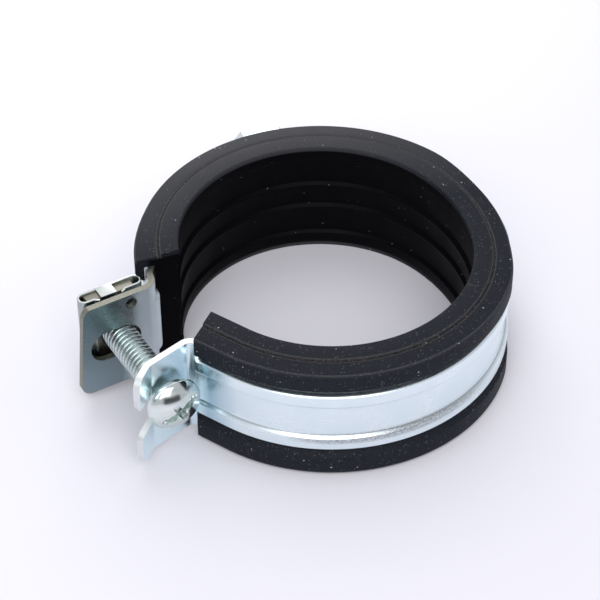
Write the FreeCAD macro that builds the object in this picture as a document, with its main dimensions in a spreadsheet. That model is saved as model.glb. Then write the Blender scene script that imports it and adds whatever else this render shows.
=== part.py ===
"""Rubber lined pipe clamp: a one-piece steel band with two ears, lined with a
rubber profile, carrying a connection nut and closed by a screw in a caged nut.

The closure line runs through the middle of the closure and the flex point
opposite it. Everything is drawn about that line, which the finished pieces
turn by closure_turn so that the connection nut points along +Y.
The ring's axis is Z and the origin is the middle of the pipe seat."""
import FreeCAD, Part
import math
import os
import re
import Sketcher

FOLDER = "parts"

# Driving sizes, millimetres and degrees.
SIZES = {
    # pipe seat and rubber profile
    "seat_radius": 26.0,
    "lip_stand": 0.4,
    "lip_over": 2.3,
    "wall_relief": 0.6,
    "seat_land": 3.1,
    "rib_offset": 2.7,
    "rib_width": 0.9,
    "top_land": 3.5,
    "top_groove": 0.5,
    "top_drop": 0.35,
    "edge_bevel": 0.3,
    "lip_face": 4.2,
    "edge_clearance": 0.05,
    # steel strip, standing off the pipe seat
    "band_standoff": 7.1,
    "band_thickness": 1.25,
    "band_width": 20.0,
    "bead_width": 2.9,
    "web_depth": 0.7,
    "step_run": 0.5,
    "lip_grip": 3.7,
    "lip_seat_depth": 1.1,
    "plain_depth": 0.35,
    "rear_plain_angle": 4.0,
    "front_plain_run": 0.25,
    "front_straight": 12.0,
    # how far the clamp stands open, about the flex point
    "closure_turn": 6.0,
    "open_angle": 7.9,
    "flex_half_angle": 20.0,
    "flex_bead_half_length": 11.7,
    "flex_bead_height": 3.8,
    "flex_bead_inset": 0.7,
    "flex_bead_rounding": 1.6,
    # ears, reaching out from the band
    "bend_radius": 1.2,
    "corner_radius": 2.2,
    "rear_ear_turn": 8.0,
    "rear_ear_offset": 5.3,
    "rear_ear_reach": 14.4,
    "rear_slot_reach": 6.9,
    "rear_slot_length": 10.2,
    "rear_slot_width": 6.5,
    "pin_hole_reach": 3.4,
    "pin_hole_drop": 2.0,
    "pin_hole_radius": 1.15,
    "fork_ear_turn": 12.8,
    "fork_ear_offset": 0.86,
    "fork_flat_reach": 9.3,
    "fork_slot_reach": 2.4,
    "fork_slot_width": 6.8,
    "flare_angle": 27.5,
    "flare_bend_radius": 1.5,
    "flare_length": 4.5,
    "lobe_rounding": 1.2,
    # rubber ends, as cut
    "lining_rear_end": 6.1,
    "lining_front_in": 3.1,
    "lining_front_cut": 36.6,
    "lining_overrun": 2.0,
    # connection nut
    "nut_across_flats": 13.0,
    "nut_stand": 9.1,
    "nut_bore_radius": 3.4,
    "nut_chamfer": 1.1,
    # closing screw, nut plate and cage
    "screw_reach": 5.4,
    "shank_radius": 3.0,
    "shank_length": 30.0,
    "point_chamfer": 0.8,
    "head_gap": 18.65,
    "head_radius": 5.15,
    "head_height": 3.6,
    "head_side": 1.3,
    "head_rounding": 0.7,
    "slot_width": 1.3,
    "slot_depth": 1.5,
    "cross_reach": 1.9,
    "cross_depth": 2.3,
    "driver_turn": 29.3,
    "thread_clearance": 0.05,
    "plate_inner_reach": 4.0,
    "plate_outer_reach": 5.4,
    "plate_front": 2.5,
    "plate_thickness": 2.0,
    "plate_inset": 0.4,
    "cage_sheet": 0.4,
    "inner_curl_gap": 0.4,
    "outer_curl_gap": 0.1,
    "cage_hole_radius": 3.5,
    "inner_flange": 2.4,
    "outer_flange": 1.3,
    "tongue_shift": 0.3,
    "tongue_width": 3.1,
    "tongue_lip": 1.2,
    "tongue_clearance": 0.05,
    "lug_reach": 1.2,
    "lug_height": 3.0,
    "ear_play": 0.2,
}

# Distances from the ring's axis and heights from the middle plane that follow from the driving sizes.
DERIVED = {
    "band_outer_radius": "seat_radius + band_standoff",
    "lining_outer_radius": "band_outer_radius + lip_stand",
    "top_land_radius": "seat_radius + top_land",
    "rear_ear_tip": "band_outer_radius + rear_ear_reach",
    "rear_slot_middle": "band_outer_radius + rear_slot_reach",
    "pin_hole_out": "band_outer_radius + pin_hole_reach",
    "fork_flat_end": "band_outer_radius + fork_flat_reach",
    "fork_slot_bottom": "band_outer_radius + fork_slot_reach",
    "nut_top": "band_outer_radius + nut_stand",
    "screw_out": "band_outer_radius + screw_reach",
    "plate_inner_end": "screw_out - plate_inner_reach",
    "plate_outer_end": "screw_out + plate_outer_reach",
    "cage_inner_curl": "plate_inner_end - inner_curl_gap",
    "cage_outer_curl": "plate_outer_end + outer_curl_gap",
    "tongue_start": "screw_out - tongue_shift",
    "lining_width": "band_width + 2 * lip_over",
    "bead_edge": "band_width / 2 - lip_grip",
    "web_half_width": "bead_edge - bead_width",
    "flex_bead_half_width": "bead_edge - flex_bead_inset",
    "pin_hole_up": "band_width / 2 - pin_hole_drop",
    "cage_half_height": "band_width / 2",
    "plate_half_height": "cage_half_height - plate_inset",
}

doc = FreeCAD.newDocument("pipe_clamp")
sheet = doc.addObject("Spreadsheet::Sheet", "Sizes")
for row, (alias, number) in enumerate(SIZES.items(), start=1):
    sheet.set(f"A{row}", alias)
    sheet.set(f"B{row}", str(number))
    sheet.setAlias(f"B{row}", alias)
doc.recompute()

WORD = re.compile(r"[a-z_]{3,}")


def cells(formula):
    """Write a formula's derived distances out, and its size names as references to the sheet."""
    while any(name in DERIVED for name in WORD.findall(formula)):
        formula = WORD.sub(lambda m: f"({DERIVED[m.group()]})" if m.group() in DERIVED else m.group(), formula)
    return WORD.sub(lambda m: "Sizes." + m.group() if m.group() in SIZES else m.group(), formula)


def bind(thing, formulas):
    for prop, formula in formulas.items():
        thing.setExpression(prop, cells(formula))


def place(thing, x="0", y="0", z="0", turn=None, axis=(0, 0, 1)):
    """Put a piece at x, y, z, turned about one axis."""
    if turn is not None:
        thing.Placement = FreeCAD.Placement(FreeCAD.Vector(), FreeCAD.Rotation(FreeCAD.Vector(*axis), 1))
        bind(thing, {"Placement.Rotation.Angle": turn})
    bind(thing, {"Placement.Base.x": x, "Placement.Base.y": y, "Placement.Base.z": z})
    return thing


def box(name, length, width, height, **where):
    made = doc.addObject("Part::Box", name)
    bind(made, {"Length": length, "Width": width, "Height": height})
    return place(made, **where)


def cylinder(name, radius, height, angle="360", **where):
    made = doc.addObject("Part::Cylinder", name)
    bind(made, {"Radius": radius, "Height": height, "Angle": angle})
    return place(made, **where)


def fuse(name, pieces):
    made = doc.addObject("Part::MultiFuse", name)
    made.Shapes = pieces
    made.Refine = True
    return made


def cut(name, base, tool):
    made = doc.addObject("Part::Cut", name)
    made.Base = base
    made.Tool = tool
    made.Refine = True
    return made


def common(name, pieces):
    made = doc.addObject("Part::MultiCommon", name)
    made.Shapes = pieces
    made.Refine = True
    return made


def fillet(name, base, radius, chosen):
    """Round the edges that chosen() picks by their middle point and length."""
    doc.recompute()
    made = doc.addObject("Part::Fillet", name)
    made.Base = base
    edges = base.Shape.Edges
    made.Edges = [(i + 1, radius, radius) for i, edge in enumerate(edges) if chosen(edge)]
    return made


def outline(name, points):
    """A closed outline in the XZ plane whose corners are formulas (radius, height)."""
    sketch = doc.addObject("Sketcher::SketchObject", name)
    sketch.Placement = FreeCAD.Placement(FreeCAD.Vector(), FreeCAD.Rotation(FreeCAD.Vector(1, 0, 0), 90))
    spots = [FreeCAD.Vector(number(px), number(pz), 0) for px, pz in points]
    count = len(spots)
    for i in range(count):
        sketch.addGeometry(Part.LineSegment(spots[i], spots[(i + 1) % count]))
    for i in range(count):
        sketch.addConstraint(Sketcher.Constraint("Coincident", i, 2, (i + 1) % count, 1))
    for i, (px, pz) in enumerate(points):
        across = sketch.addConstraint(Sketcher.Constraint("DistanceX", -1, 1, i, 1, spots[i].x))
        up = sketch.addConstraint(Sketcher.Constraint("DistanceY", -1, 1, i, 1, spots[i].y))
        bind(sketch, {f"Constraints[{across}]": px, f"Constraints[{up}]": pz})
    return sketch


def number(formula):
    """The present value of a formula of sizes."""
    value = sheet.evalExpression(cells(formula))
    return float(getattr(value, "Value", value))


def mirrored(points):
    """Add the lower half of an outline that starts and ends on the middle plane."""
    return points + [(px, f"-({pz})") for px, pz in reversed(points)]


# The ring is three tangent arcs: the back half about the origin, a flatter arc
# at the flex point, and the front half, swung open about the flex point. The
# front half ends in a short straight run.
PIVOT = "(band_outer_radius - lip_seat_depth)"
FLEX_SHIFT = f"({PIVOT} * sin(open_angle / 2) / sin(flex_half_angle - open_angle / 2))"
FLEX_SWEEP = "(2 * flex_half_angle - open_angle)"
FRONT_ARC_END = "(180 + fork_ear_turn + front_straight)"


def revolve(name, section, sweep, start, axis_shift="0", way=1):
    made = doc.addObject("Part::Revolution", name)
    made.Source = section
    made.Axis = (0, 0, way)
    made.Solid = True
    bind(made, {"Angle": sweep, "Base.x": axis_shift})
    return place(made, turn=start)


def ring(name, section, rear_end, front_run):
    """Back, flex and front arcs of one section from the rear end, and the straight front run."""
    back = revolve(name + "_back", section, f"{rear_end} - flex_half_angle", "flex_half_angle")
    flex = revolve(name + "_flex", section, FLEX_SWEEP, "flex_half_angle", f"-{FLEX_SHIFT}", -1)
    front = revolve(name + "_front", section, f"360 - flex_half_angle - {FRONT_ARC_END}", FRONT_ARC_END)
    run = doc.addObject("Part::Extrusion", name + "_run")
    run.Base = section
    run.Dir = (0, -1, 0)
    run.Solid = True
    bind(run, {"LengthFwd": front_run})
    return back, flex, fuse(name + "_front_run", [front, place(run, turn=FRONT_ARC_END)])


def swing_open(thing):
    """Turn a front piece about the flex point by the opening angle."""
    return place(thing, x=f"{PIVOT} * (1 - cos(open_angle))", y=f"-{PIVOT} * sin(open_angle)", turn="open_angle")


# Steel band
BAND_MIDDLE = "-band_width / 2"
PLAIN_RADIUS = "(band_outer_radius - plain_depth)"
BEND_REACH = f"({PLAIN_RADIUS} + bend_radius)"
REAR_BEND_DEPTH = "(rear_ear_offset + band_thickness + bend_radius)"
FORK_BEND_DEPTH = "(bend_radius - fork_ear_offset)"
REAR_BEND_TURN = f"(acos({REAR_BEND_DEPTH} / {BEND_REACH}) / 1 deg)"
FORK_BEND_TURN = "(90 - front_straight)"
REAR_BEND_OUT = f"sqrt({BEND_REACH} ^ 2 - {REAR_BEND_DEPTH} ^ 2)"
FORK_BEND_OUT = f"(({BEND_REACH} - {FORK_BEND_DEPTH} * sin(front_straight)) / cos(front_straight))"
FRONT_RUN = f"({FORK_BEND_OUT} * sin(front_straight) - {FORK_BEND_DEPTH} * cos(front_straight))"
REAR_ARC_END = f"(90 + rear_ear_turn + {REAR_BEND_TURN})"


def band_section():
    web = "band_outer_radius - web_depth"
    seat = "band_outer_radius - lip_seat_depth"
    outer = [
        (seat, "band_width / 2"),
        (seat, "bead_edge + step_run"),
        ("band_outer_radius", "bead_edge"),
        ("band_outer_radius", "web_half_width + step_run"),
        (web, "web_half_width"),
    ]
    outer = outer + [(px, f"-({pz})") for px, pz in reversed(outer)]
    inner = [(f"{px} - band_thickness", pz) for px, pz in reversed(outer)]
    return outline("band_section", outer + inner)


def sector(name, outer, inner, sweep, start, x, y):
    """Part of a thick-walled tube as wide as the band: a plain arc or a bend."""
    around = cylinder(name + "_out", outer, "band_width", sweep)
    inside = cylinder(name + "_in", inner, "band_width + 2", sweep, z="-1")
    return place(cut(name, around, inside), x=x, y=y, z=BAND_MIDDLE, turn=start)


def obround(name, middle, length, width, depth):
    """A slot along X through a wall that lies in the XZ plane."""
    half = f"(({length} - {width}) / 2)"
    start = f"{middle} - {half}"
    bar = box(name + "_bar", f"{length} - {width}", f"2 * {depth}", width,
              x=start, y=f"-{depth}", z=f"-{width} / 2")
    ends = [
        cylinder(f"{name}_end_{side}", f"{width} / 2", f"2 * {depth}", x=at, y=depth, turn="90", axis=(1, 0, 0))
        for side, at in (("in", start), ("out", f"{middle} + {half}"))
    ]
    return fuse(name, [bar] + ends)


def upright(edge, at_x):
    """True for a straight edge through the sheet at the given distance out."""
    middle = edge.CenterOfMass
    across = edge.Vertexes[0].Point.sub(edge.Vertexes[-1].Point)
    return abs(middle.x - at_x) < 0.01 and abs(across.y) > 0.9 * edge.Length > 0.5


def rear_ear():
    flat = box("rear_flat", f"rear_ear_tip - {REAR_BEND_OUT}", "band_thickness", "band_width",
               x=REAR_BEND_OUT, y="-band_thickness", z=BAND_MIDDLE)
    tip = number("rear_ear_tip")
    rounded = fillet("rear_rounded", flat, number("corner_radius"), lambda edge: upright(edge, tip))
    slot = obround("rear_slot", "rear_slot_middle", "rear_slot_length", "rear_slot_width", "2 * band_thickness")
    pin = cylinder("pin_hole", "pin_hole_radius", "4 * band_thickness",
                   x="pin_hole_out", y="2 * band_thickness", z="pin_hole_up", turn="90", axis=(1, 0, 0))
    pierced = cut("rear_pierced", rounded, fuse("rear_holes", [slot, pin]))
    bend = sector("rear_bend", "bend_radius + band_thickness", "bend_radius", REAR_BEND_TURN, "90",
                  REAR_BEND_OUT, "-(bend_radius + band_thickness)")
    ear = fuse("rear_ear", [pierced, bend])
    return place(ear, x="-rear_ear_offset * sin(rear_ear_turn)", y="rear_ear_offset * cos(rear_ear_turn)",
                 turn="180 + rear_ear_turn")


def fork_ear():
    flat = box("fork_flat", f"fork_flat_end - {FORK_BEND_OUT}", "band_thickness", "band_width",
               x=FORK_BEND_OUT, y="-band_thickness", z=BAND_MIDDLE)
    bend = sector("fork_bend", "bend_radius + band_thickness", "bend_radius", FORK_BEND_TURN,
                  f"270 - {FORK_BEND_TURN}", FORK_BEND_OUT, "bend_radius")
    flare = sector("flare_bend", "flare_bend_radius + band_thickness", "flare_bend_radius", "flare_angle",
                   "270", "fork_flat_end", "flare_bend_radius")
    tip = box("flare_tip", "flare_length", "band_thickness", "band_width", z=BAND_MIDDLE)
    tip_rounded = fillet("tip_rounded", tip, number("corner_radius"),
                         lambda edge: upright(edge, number("flare_length")))
    place(tip_rounded,
          x="fork_flat_end + (flare_bend_radius + band_thickness) * sin(flare_angle)",
          y="flare_bend_radius - (flare_bend_radius + band_thickness) * cos(flare_angle)",
          turn="flare_angle")
    solid = fuse("fork_solid", [flat, bend, flare, tip_rounded])
    reach = "(fork_slot_bottom + fork_slot_width / 2)"
    deep = "(flare_bend_radius + flare_length + band_thickness)"
    mouth = box("fork_mouth", "rear_ear_tip", f"2 * {deep}", "fork_slot_width",
                x=reach, y=f"-{deep}", z="-fork_slot_width / 2")
    end = cylinder("fork_end", "fork_slot_width / 2", f"2 * {deep}",
                   x=reach, y=deep, turn="90", axis=(1, 0, 0))
    forked = cut("forked", solid, fuse("fork_slot", [mouth, end]))
    lobes = fillet("fork_ear", forked, number("lobe_rounding"), slot_corner)
    return place(lobes, x="-fork_ear_offset * sin(fork_ear_turn)", y="fork_ear_offset * cos(fork_ear_turn)",
                 turn="180 + fork_ear_turn")


def slot_corner(edge):
    """True for the two corners where the fork's slot opens at the tip."""
    middle = edge.CenterOfMass
    at_slot = abs(abs(middle.z) - number("fork_slot_width") / 2) < 0.01
    past_flare = middle.x > number("fork_flat_end") + number("flare_length") / 2
    return at_slot and past_flare and abs(edge.Length - number("band_thickness")) < 0.01


def flex_bead():
    """A pressed bead that stands out of the band's middle, drawn about the flex arc's own centre."""
    outer = f"(band_outer_radius + {FLEX_SHIFT})"
    chord = f"sqrt({outer} ^ 2 - flex_bead_half_length ^ 2)"
    rise = f"({outer} + flex_bead_height - {chord})"
    bead_radius = f"((flex_bead_half_length ^ 2 + {rise} ^ 2) / (2 * {rise}))"
    out = f"({outer} + flex_bead_height - {bead_radius})"
    skin = cylinder("bead_skin", bead_radius, "2 * flex_bead_half_width", x=out, z="-flex_bead_half_width")
    rounding = number("flex_bead_rounding")
    rounded = fillet("bead_rounded", skin, rounding, lambda edge: edge.Closed and edge.Curve.TypeId == "Part::GeomCircle")
    inside = cylinder("bead_inside", f"{outer} - band_thickness - web_depth / 2", "4 * flex_bead_half_width",
                      z="-2 * flex_bead_half_width")
    raised = cut("bead_raised", rounded, inside)
    hollow = cylinder("bead_hollow", f"{bead_radius} - band_thickness",
                      "2 * (flex_bead_half_width - band_thickness)",
                      x=out, z="band_thickness - flex_bead_half_width")
    shift_x = f"-{FLEX_SHIFT} * cos(flex_half_angle)"
    shift_y = f"-{FLEX_SHIFT} * sin(flex_half_angle)"
    for piece in (raised, hollow):
        place(piece, x=shift_x, y=shift_y, turn="open_angle / 2")
    return raised, hollow


def make_band():
    section = band_section()
    rear_end = f"({REAR_ARC_END} - rear_plain_angle)"
    back, flex, front = ring("band", section, rear_end, f"{FRONT_RUN} - front_plain_run")
    plain_inside = f"({PLAIN_RADIUS} - band_thickness)"
    rear_plain = sector("rear_plain", PLAIN_RADIUS, plain_inside, "rear_plain_angle", rear_end, "0", "0")
    front_plain = box("front_plain", "band_thickness", "front_plain_run", "band_width",
                      x=f"{plain_inside} * cos{FRONT_ARC_END} + {FRONT_RUN} * sin{FRONT_ARC_END}",
                      y=f"{plain_inside} * sin{FRONT_ARC_END} - {FRONT_RUN} * cos{FRONT_ARC_END}",
                      z=BAND_MIDDLE, turn=FRONT_ARC_END)
    front_half = swing_open(fuse("front_half", [front, front_plain, fork_ear()]))
    raised, hollow = flex_bead()
    whole = fuse("band_whole", [back, flex, rear_plain, rear_ear(), front_half, raised])
    return place(cut("band", whole, hollow), turn="closure_turn")


# Rubber lining
def lining_section():
    """The rubber profile: ribbed seat inside, flanges over the strip's edges."""
    strip = "band_outer_radius - lip_seat_depth"
    bare = "seat_radius + wall_relief"
    half = "lining_width / 2"
    groove = f"{half} - top_drop"
    strip_edge = "band_width / 2 + edge_clearance"
    upper = [
        (bare, "rib_offset - rib_width"),
        ("seat_radius", "rib_offset - rib_width / 4"),
        ("seat_radius", "rib_offset + rib_width / 4"),
        (bare, "rib_offset + rib_width"),
        (bare, f"{half} - seat_land - wall_relief"),
        ("seat_radius", f"{half} - seat_land"),
        ("seat_radius", f"{half} - edge_bevel"),
        ("seat_radius + edge_bevel", half),
        ("top_land_radius", half),
        ("top_land_radius + top_groove / 2", f"{groove} - top_drop / 2"),
        ("top_land_radius + top_groove", groove),
        ("lining_outer_radius - edge_bevel", groove),
        ("lining_outer_radius", f"{groove} - edge_bevel"),
        ("lining_outer_radius", f"{half} - lip_face"),
        (f"{strip} + edge_clearance", "bead_edge + step_run"),
        (f"{strip} + edge_clearance", strip_edge),
        (f"{strip} - band_thickness - edge_clearance", strip_edge),
    ]
    return outline("lining_section", mirrored(upper))


def make_lining():
    section = lining_section()
    back, flex, front = ring("lining", section, "180 - lining_overrun",
                            "2 * (lining_outer_radius - seat_radius)")
    far = "2 * lining_outer_radius"
    inward = "(lining_outer_radius - seat_radius)"
    front_cutter = box("front_cutter", far, far, far,
                       x=f"-seat_radius + {inward} * cos(lining_front_cut)",
                       y=f"-lining_front_in + {inward} * sin(lining_front_cut)",
                       z="-lining_outer_radius", turn="90 + lining_front_cut")
    front_half = swing_open(cut("lining_front_half", front, front_cutter))
    rear_cutter = box("rear_cutter", far, far, far, x=f"-{far}", y=f"lining_rear_end - {far}",
                      z="-lining_outer_radius")
    back_half = cut("lining_back_half", back, rear_cutter)
    return place(fuse("rubber_lining", [back_half, flex, front_half]), turn="closure_turn")


# Connection nut, along +Y
def make_connection_nut():
    foot = "(band_outer_radius - web_depth)"
    tall = f"(nut_top - {foot})"
    corner = "(nut_across_flats / 2 / cos(30))"
    hexagon = doc.addObject("Part::Prism", "hexagon")
    hexagon.Polygon = 6
    bind(hexagon, {"Circumradius": corner, "Height": tall})
    crown = doc.addObject("Part::Cone", "crown")
    bind(crown, {
        "Radius1": f"nut_across_flats / 2 - nut_chamfer / 4 + {tall} / tan(30)",
        "Radius2": "nut_across_flats / 2 - nut_chamfer / 4",
        "Height": tall,
    })
    blank = common("nut_blank", [hexagon, crown])
    bore = cylinder("nut_bore", "nut_bore_radius", f"{tall} + 2", z="-1")
    wide, narrow = "nut_bore_radius + nut_chamfer", "nut_bore_radius - nut_chamfer"
    leads = []
    for end, start, low, high in (("inner", "web_depth - nut_chamfer / 2", wide, narrow),
                                  ("outer", f"{tall} - 1.5 * nut_chamfer", narrow, wide)):
        lead = doc.addObject("Part::Cone", f"nut_lead_{end}")
        bind(lead, {"Radius1": low, "Radius2": high, "Height": "2 * nut_chamfer"})
        leads.append(place(lead, z=start))
    turned = cut("nut_turned", blank, fuse("nut_hole", [bore] + leads))
    place(turned, y=foot, turn="-90", axis=(1, 0, 0))
    saddle = cylinder("nut_saddle", "band_outer_radius", "2 * nut_across_flats", z="-nut_across_flats")
    return cut("connection_nut", turned, saddle)


# Closing screw, nut plate and cage, drawn in the rear ear's frame: X along the
# ear, Y out of its front face towards the screw head, Z up.
def on_rear_ear(thing):
    """Place a finished piece from the rear ear's frame in the model."""
    turn = "(rear_ear_turn + closure_turn)"
    return place(thing, x=f"-rear_ear_offset * sin{turn}", y=f"rear_ear_offset * cos{turn}", turn=f"180 + {turn}")


def make_screw():
    """A pan head screw with a slot and a cross recess, drawn along Z from the head."""
    shank = cylinder("shank", "shank_radius", "shank_length", z="-shank_length")
    round_off = doc.addObject("Part::Cone", "screw_point")
    bind(round_off, {"Radius1": "shank_radius - point_chamfer", "Radius2": "shank_radius - point_chamfer + shank_length",
                     "Height": "shank_length"})
    place(round_off, z="-shank_length")
    pointed = common("pointed_shank", [shank, round_off])
    dome = "((head_radius ^ 2 + (head_height - head_side) ^ 2) / (2 * (head_height - head_side)))"
    ball = doc.addObject("Part::Sphere", "head_dome")
    bind(ball, {"Radius": dome})
    place(ball, z=f"head_height - {dome}")
    drum = cylinder("head_drum", "head_radius", "head_height")
    head = common("head", [ball, drum])
    softened = fillet("head_softened", head, number("head_rounding"), head_rim)
    bars = [
        box(name, f"2 * {reach}", "slot_width", f"2 * {deep}",
            x="-({0}) * cos({1}) + slot_width / 2 * sin({1})".format(reach, turn),
            y="-({0}) * sin({1}) - slot_width / 2 * cos({1})".format(reach, turn),
            z=f"head_height - {deep}", turn=turn)
        for name, reach, deep, turn in (
            ("driver_slot", "1.1 * head_radius", "slot_depth", "driver_turn"),
            ("cross_along", "cross_reach", "cross_depth", "driver_turn"),
            ("cross_over", "cross_reach", "cross_depth", "(driver_turn + 90)"),
        )
    ]
    driven = cut("driven_head", softened, fuse("driver_recess", bars))
    for half in (pointed, driven):
        place(half, x="screw_out", y="head_gap", turn="-90", axis=(1, 0, 0))
    return on_rear_ear(fuse("closing_screw", [pointed, driven]))


def head_rim(edge):
    """True for the rim where the head's dome meets its side."""
    return edge.Closed and abs(edge.CenterOfMass.z - number("head_side")) < 0.01


def make_nut_plate():
    plate = box("plate_blank", "plate_outer_end - plate_inner_end", "plate_thickness", "2 * plate_half_height",
                x="plate_inner_end", y="-(plate_front + plate_thickness)", z="-plate_half_height")
    thread = cylinder("plate_thread", "shank_radius + thread_clearance", "3 * plate_thickness",
                      x="screw_out", y="-plate_front + plate_thickness / 2", turn="90", axis=(1, 0, 0))
    return on_rear_ear(cut("nut_plate", plate, thread))


def make_nut_cage():
    """A thin sheet clip: back wall, rolled ends, flanges, and a tongue over each end of the plate."""
    back = "(plate_front + plate_thickness + cage_sheet)"
    front = "(plate_front - cage_sheet)"
    tall = "2 * cage_half_height"
    wall = box("cage_wall", "cage_outer_curl - cage_inner_curl", "cage_sheet", tall,
               x="cage_inner_curl", y=f"-{back}", z="-cage_half_height")
    curl_middle = "-(plate_front + plate_thickness / 2)"
    pieces = [wall]
    for side, x, start in (("inner", "cage_inner_curl", "90"), ("outer", "cage_outer_curl", "270")):
        outside = cylinder(side + "_curl_out", "plate_thickness / 2 + cage_sheet", tall, "180")
        inside = cylinder(side + "_curl_in", "plate_thickness / 2", f"{tall} + 2", "180", z="-1")
        pieces.append(place(cut(side + "_curl", outside, inside), x=x, y=curl_middle,
                            z="-cage_half_height", turn=start))
    pieces.append(box("inner_return", "inner_flange", "cage_sheet", tall,
                      x="cage_inner_curl", y="-plate_front", z="-cage_half_height"))
    pieces.append(box("outer_return", "outer_flange", "cage_sheet", tall,
                      x="cage_outer_curl - outer_flange", y="-plate_front", z="-cage_half_height"))
    slope = f"({front} - band_thickness - ear_play)"
    lean = f"asin({slope} / lug_reach) / 1 deg"
    for side, x, turn in (("inner", "cage_inner_curl + inner_flange", f"({lean})"),
                          ("outer", "cage_outer_curl - outer_flange", f"(180 - {lean})")):
        for level, z in (("top", "cage_half_height - lug_height"), ("bottom", "-cage_half_height")):
            shift = "0" if side == "inner" else f"cage_sheet * sin({turn})"
            drop = "0" if side == "inner" else f"-cage_sheet * cos({turn})"
            y = f"-plate_front + {drop}"
            pieces.append(box(f"lug_{side}_{level}", "lug_reach", "cage_sheet", "lug_height",
                              x=f"{x} + {shift}", y=y, z=z, turn=turn))
    for level, over, under in (("top", "plate_half_height + tongue_clearance",
                                "plate_half_height + tongue_clearance + cage_sheet - tongue_lip"),
                               ("bottom", "-(plate_half_height + tongue_clearance + cage_sheet)",
                                "-(plate_half_height + tongue_clearance + cage_sheet)")):
        pieces.append(box(f"tongue_{level}", "tongue_width", f"{back} - {front}", "cage_sheet",
                          x="tongue_start", y=f"-{back}", z=over))
        pieces.append(box(f"tongue_lip_{level}", "tongue_width", "cage_sheet", "tongue_lip",
                          x="tongue_start", y="-plate_front", z=under))
    folded = fuse("cage_folded", pieces)
    hole = cylinder("cage_hole", "cage_hole_radius", "4 * plate_thickness",
                    x="screw_out", y="0", turn="90", axis=(1, 0, 0))
    return on_rear_ear(cut("nut_cage", folded, hole))


NODES = {
    "band": make_band,
    "rubber_lining": make_lining,
    "connection_nut": make_connection_nut,
    "closing_screw": make_screw,
    "nut_plate": make_nut_plate,
    "nut_cage": make_nut_cage,
}

made = {}
for label, make in NODES.items():
    piece = make()
    piece.Label = label
    made[label] = piece
doc.recompute()

for thing in doc.Objects:
    if "Invalid" in thing.State or "Error" in thing.State:
        raise RuntimeError(f"{thing.Name} failed: {thing.State}")
for label, piece in made.items():
    shape = piece.Shape
    if shape.isNull() or not shape.isValid():
        raise RuntimeError(f"{label} has no valid shape")
    if len(shape.Solids) != 1:
        raise RuntimeError(f"{label} has {len(shape.Solids)} solids")

os.makedirs(FOLDER, exist_ok=True)
for label, piece in made.items():
    piece.Shape.exportStep(os.path.join(FOLDER, label + ".step"))
    size = piece.Shape.BoundBox
    print(f"{label}: {piece.Shape.Volume:.1f} mm3, {size.XLength:.1f} x {size.YLength:.1f} x {size.ZLength:.1f} mm")
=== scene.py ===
# %% [markdown]
# # Rubber lined pipe clamp
# An open pipe clamp lies on a pale table. A zinc plated steel band with a web and two beads
# carries a black rubber lining, and a screw with a caged square nut closes it. Every shape is
# worked out in the part's own frame: the ring's axis is Z, the connection nut points along +Y,
# and the middle of the pipe seat is the origin. Lengths are in millimetres until a mesh is made.

# %% Load the frame
import math

import bmesh
import bpy
import numpy as np
from mathutils import Matrix, Vector


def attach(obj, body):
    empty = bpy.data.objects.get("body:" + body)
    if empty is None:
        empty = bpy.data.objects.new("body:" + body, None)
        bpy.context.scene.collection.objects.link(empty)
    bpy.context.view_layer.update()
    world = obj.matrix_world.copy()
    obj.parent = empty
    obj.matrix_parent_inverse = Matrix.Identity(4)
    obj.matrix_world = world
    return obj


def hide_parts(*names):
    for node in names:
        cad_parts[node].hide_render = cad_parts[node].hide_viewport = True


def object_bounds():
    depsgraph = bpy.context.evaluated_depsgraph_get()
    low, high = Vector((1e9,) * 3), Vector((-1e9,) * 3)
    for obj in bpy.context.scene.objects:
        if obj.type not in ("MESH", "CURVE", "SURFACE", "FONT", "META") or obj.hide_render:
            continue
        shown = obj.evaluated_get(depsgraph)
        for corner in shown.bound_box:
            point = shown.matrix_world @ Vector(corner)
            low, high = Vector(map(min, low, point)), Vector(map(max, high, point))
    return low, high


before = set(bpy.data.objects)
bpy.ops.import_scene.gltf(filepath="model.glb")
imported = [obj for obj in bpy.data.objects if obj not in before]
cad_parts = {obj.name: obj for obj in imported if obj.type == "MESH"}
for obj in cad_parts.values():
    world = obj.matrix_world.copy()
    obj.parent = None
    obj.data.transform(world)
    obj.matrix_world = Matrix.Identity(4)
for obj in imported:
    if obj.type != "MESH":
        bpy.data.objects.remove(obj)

MM = 0.001
cad_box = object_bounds()
print("CAD box in mm:", [[round(v / MM, 2) for v in corner] for corner in cad_box])

# %% [markdown]
# ## Camera
# A camera can be moved by eye until the picture looks right, but an error then hides in every
# size. Here the view was solved from the ellipses of the ring's edges instead. The camera stands
# 42 degrees above the table and 16 degrees to the left of the clamp's front, so it is placed on a
# line through an aim point on the table, at its distance, with a small roll.

# %% Camera
AZIMUTH, ELEVATION, ROLL = math.radians(-16.3), math.radians(41.75), math.radians(-0.4)
AIM = Vector((-0.95, 10.15, -12.3)) * MM
DISTANCE = 435.0 * MM
LENS = 134.5

back = Vector((
    math.sin(AZIMUTH) * math.cos(ELEVATION),
    -math.cos(AZIMUTH) * math.cos(ELEVATION),
    math.sin(ELEVATION),
))
right = Vector((0, 0, 1)).cross(back).normalized()
up = back.cross(right)
image_x = right * math.cos(ROLL) + up * math.sin(ROLL)
image_y = back.cross(image_x)

camera = bpy.data.objects.new("camera", bpy.data.cameras.new("camera"))
camera.data.lens = LENS
camera.data.sensor_width = 36.0
camera.data.clip_start = 0.01
camera.data.clip_end = 20.0
camera.matrix_world = Matrix((image_x, image_y, back)).transposed().to_4x4()
camera.location = AIM + back * DISTANCE
bpy.context.scene.collection.objects.link(camera)
bpy.context.scene.camera = camera
bpy.context.scene.view_settings.view_transform = "Standard"
print("camera at", [round(v / MM, 1) for v in camera.location])

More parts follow.
